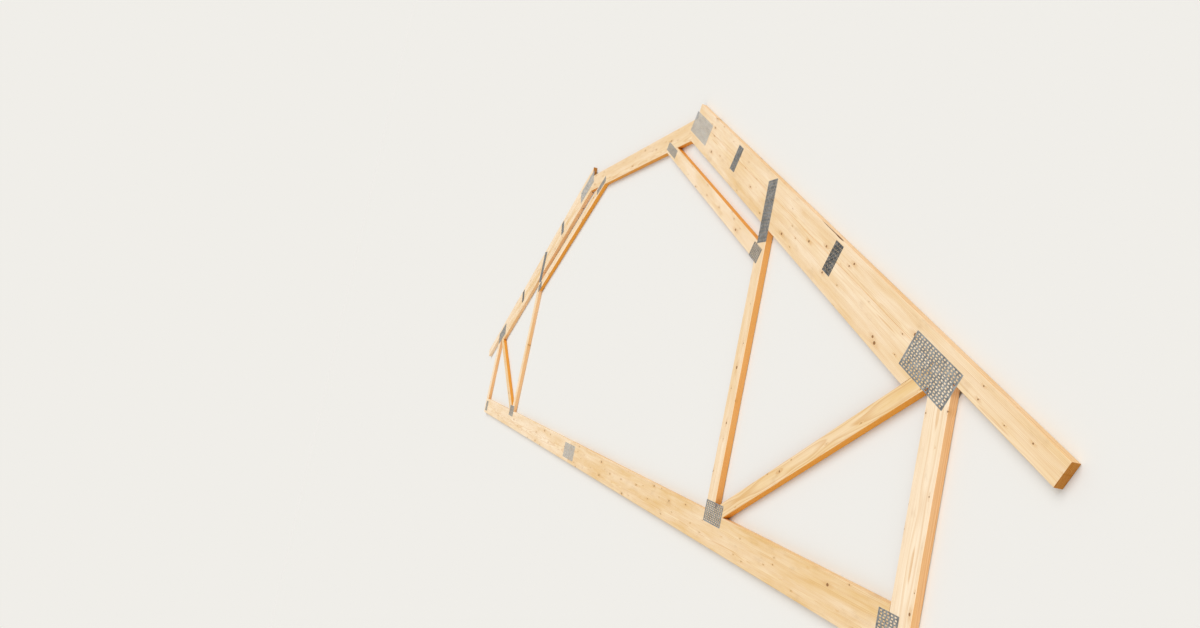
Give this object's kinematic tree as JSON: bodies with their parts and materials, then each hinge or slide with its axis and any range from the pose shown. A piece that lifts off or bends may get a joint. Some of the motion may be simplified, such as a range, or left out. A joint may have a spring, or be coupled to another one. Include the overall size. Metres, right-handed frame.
{
  "type": "attic roof truss",
  "caption": "Flat-topped timber attic roof truss with nail-plated joints, a central room opening and eave overhangs, lying on its side.",
  "frame": {"origin": "centre of the bounding box, on the level that the back nail plates lie on", "axes": "+X along the span towards the right-hand eave, +Y up the truss from bottom chord to top chord, +Z out of the front face"},
  "size_m": [11.499, 3.41, 0.048],
  "materials": {
    "spruce": "planed, unfinished",
    "galvanised_steel": "galvanised"
  },
  "bodies": {
    "root": {"bottom_chord_left": "spruce", "bottom_chord_right": "spruce", "ceiling_board_left": "spruce", "ceiling_board_right": "spruce", "ceiling_foot_plate_left_back": "galvanised_steel", "ceiling_foot_plate_left_front": "galvanised_steel", "ceiling_foot_plate_right_back": "galvanised_steel", "ceiling_foot_plate_right_front": "galvanised_steel", "ceiling_head_plate_left_back": "galvanised_steel", "ceiling_head_plate_left_front": "galvanised_steel", "ceiling_head_plate_right_back": "galvanised_steel", "ceiling_head_plate_right_front": "galvanised_steel", "corner_plate_left_back": "galvanised_steel", "corner_plate_left_front": "galvanised_steel", "corner_plate_right_back": "galvanised_steel", "corner_plate_right_front": "galvanised_steel", "diagonal_left": "spruce", "diagonal_right": "spruce", "heel_plate_left_back": "galvanised_steel", "heel_plate_left_front": "galvanised_steel", "heel_plate_right_back": "galvanised_steel", "heel_plate_right_front": "galvanised_steel", "inner_foot_plate_left_back": "galvanised_steel", "inner_foot_plate_left_front": "galvanised_steel", "inner_foot_plate_right_back": "galvanised_steel", "inner_foot_plate_right_front": "galvanised_steel", "inner_post_left": "spruce", "inner_post_right": "spruce", "outer_foot_plate_left_back": "galvanised_steel", "outer_foot_plate_left_front": "galvanised_steel", "outer_foot_plate_right_back": "galvanised_steel", "outer_foot_plate_right_front": "galvanised_steel", "outer_post_left": "spruce", "outer_post_right": "spruce", "post_head_plate_left_back": "galvanised_steel", "post_head_plate_left_front": "galvanised_steel", "post_head_plate_right_back": "galvanised_steel", "post_head_plate_right_front": "galvanised_steel", "rafter_board_left": "spruce", "rafter_board_right": "spruce", "rafter_underboard_left": "spruce", "rafter_underboard_right": "spruce", "splice_plate_back": "galvanised_steel", "splice_plate_front": "galvanised_steel", "stitch_plate_lower_left_back": "galvanised_steel", "stitch_plate_lower_left_front": "galvanised_steel", "stitch_plate_lower_right_back": "galvanised_steel", "stitch_plate_lower_right_front": "galvanised_steel", "stitch_plate_upper_left_back": "galvanised_steel", "stitch_plate_upper_left_front": "galvanised_steel", "stitch_plate_upper_right_back": "galvanised_steel", "stitch_plate_upper_right_front": "galvanised_steel", "top_chord": "spruce"}
  },
  "joints": []
}
